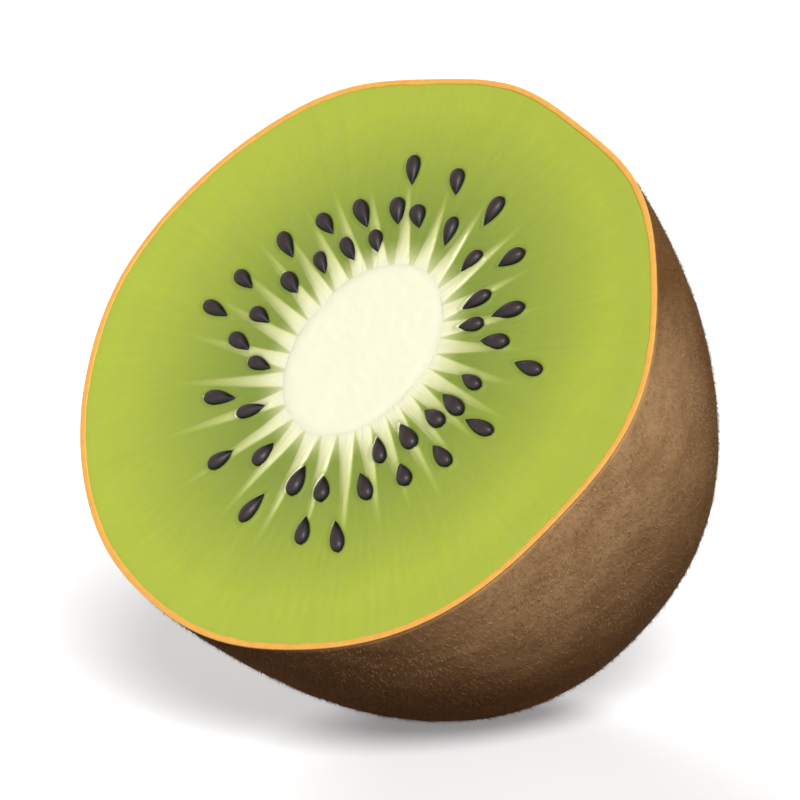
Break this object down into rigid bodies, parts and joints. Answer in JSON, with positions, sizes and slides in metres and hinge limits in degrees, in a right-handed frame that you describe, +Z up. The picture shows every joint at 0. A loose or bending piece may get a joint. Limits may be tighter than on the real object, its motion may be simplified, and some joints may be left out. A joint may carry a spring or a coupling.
{
  "type": "kiwi fruit half",
  "caption": "Half a kiwi fruit, cut across the middle and lying on its round fuzzy side, with green flesh, black seeds and a pale core.",
  "frame": {"origin": "middle of the small flat spot that the fruit rests on", "axes": "+Z up, the cut face looks towards -Y and 36 degrees up, X runs across the cut face"},
  "size_m": [0.0507, 0.0488, 0.0508],
  "materials": {
    "flesh": "wet",
    "core": "moist satin",
    "skin": "matt, fuzzy",
    "seed": "glossy"
  },
  "bodies": {
    "root": {"flesh": "flesh", "core": "core"}
  },
  "joints": []
}
